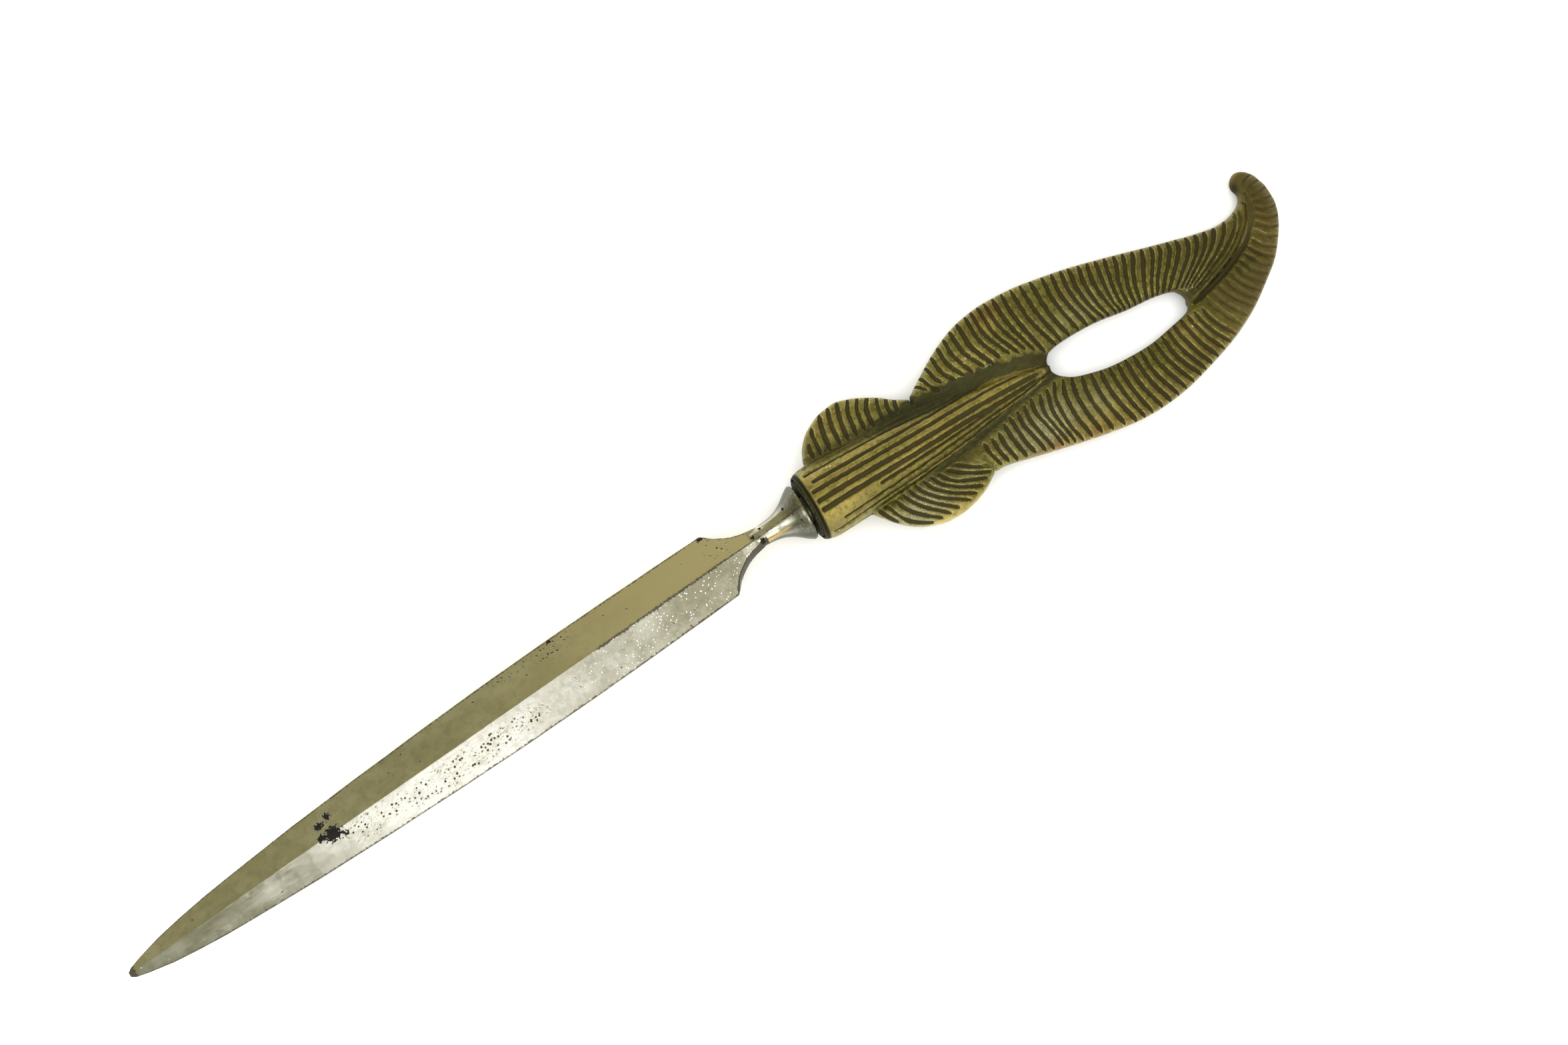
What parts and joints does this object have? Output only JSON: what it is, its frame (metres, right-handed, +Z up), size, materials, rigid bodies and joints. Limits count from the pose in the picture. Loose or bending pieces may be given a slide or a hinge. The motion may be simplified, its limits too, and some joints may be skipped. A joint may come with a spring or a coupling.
{
  "type": "letter opener",
  "caption": "Letter opener with a long lozenge steel blade, a round flared neck and a flat pierced brass handle shaped like a barbed leaf with a curled end.",
  "frame": {"origin": "centre of the bounding box at its bottom, which is the table the opener lies on", "axes": "+X from the blade's tip to the curled end of the handle, +Y across the blade towards the side the curl points to, +Z up from the table; the blade's ridge is pitched 2.8 degrees, tip high, because the opener rests on its thick socket and on the end of the handle"},
  "size_m": [0.2514, 0.0358, 0.0151],
  "materials": {
    "polished_steel": "worn polish with small dark pits",
    "aged_brass": "olive-brown patina, rubbed golden on the ribs",
    "dark_bedding": "dull, dark"
  },
  "bodies": {
    "root": {"blade": "polished_steel", "handle": "aged_brass", "tang_bedding": "dark_bedding"}
  },
  "joints": []
}
